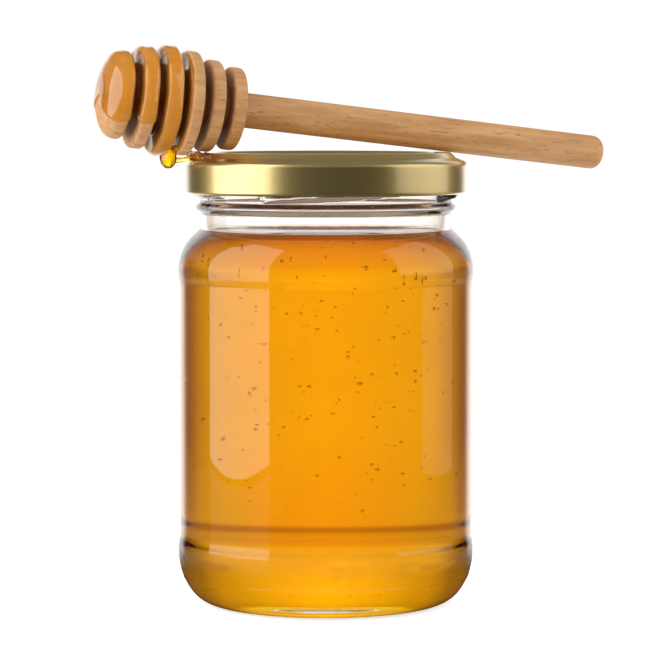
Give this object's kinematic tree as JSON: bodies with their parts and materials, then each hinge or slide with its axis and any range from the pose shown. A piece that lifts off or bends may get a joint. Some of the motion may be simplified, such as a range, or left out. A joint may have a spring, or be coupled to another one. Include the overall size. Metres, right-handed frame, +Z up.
{
  "type": "honey jar",
  "caption": "Round clear-glass jar of amber honey, closed by a gold twist-off lid, with a turned wooden dipper laid across the lid and honey dripping from its head.",
  "frame": {"origin": "middle of the circle that the jar stands on, on the jar's own axis", "axes": "+Z up along the jar's axis; -Y is the side that faces the viewer; the dipper's head lies towards -X and its handle towards +X"},
  "size_m": [0.1245, 0.0718, 0.1355],
  "materials": {
    "clear_glass": "clear flint glass, smooth and glossy",
    "amber_honey": "clear amber liquid honey, glossy",
    "gold_lacquered_steel": "gold lacquer on tinplate, satin",
    "beech_wood": "plain turned beech, fine sanded and unvarnished"
  },
  "bodies": {
    "root": {"jar": "clear_glass", "honey": "amber_honey", "lid": "gold_lacquered_steel", "dipper": "beech_wood", "honey_drip": "amber_honey"}
  },
  "joints": []
}
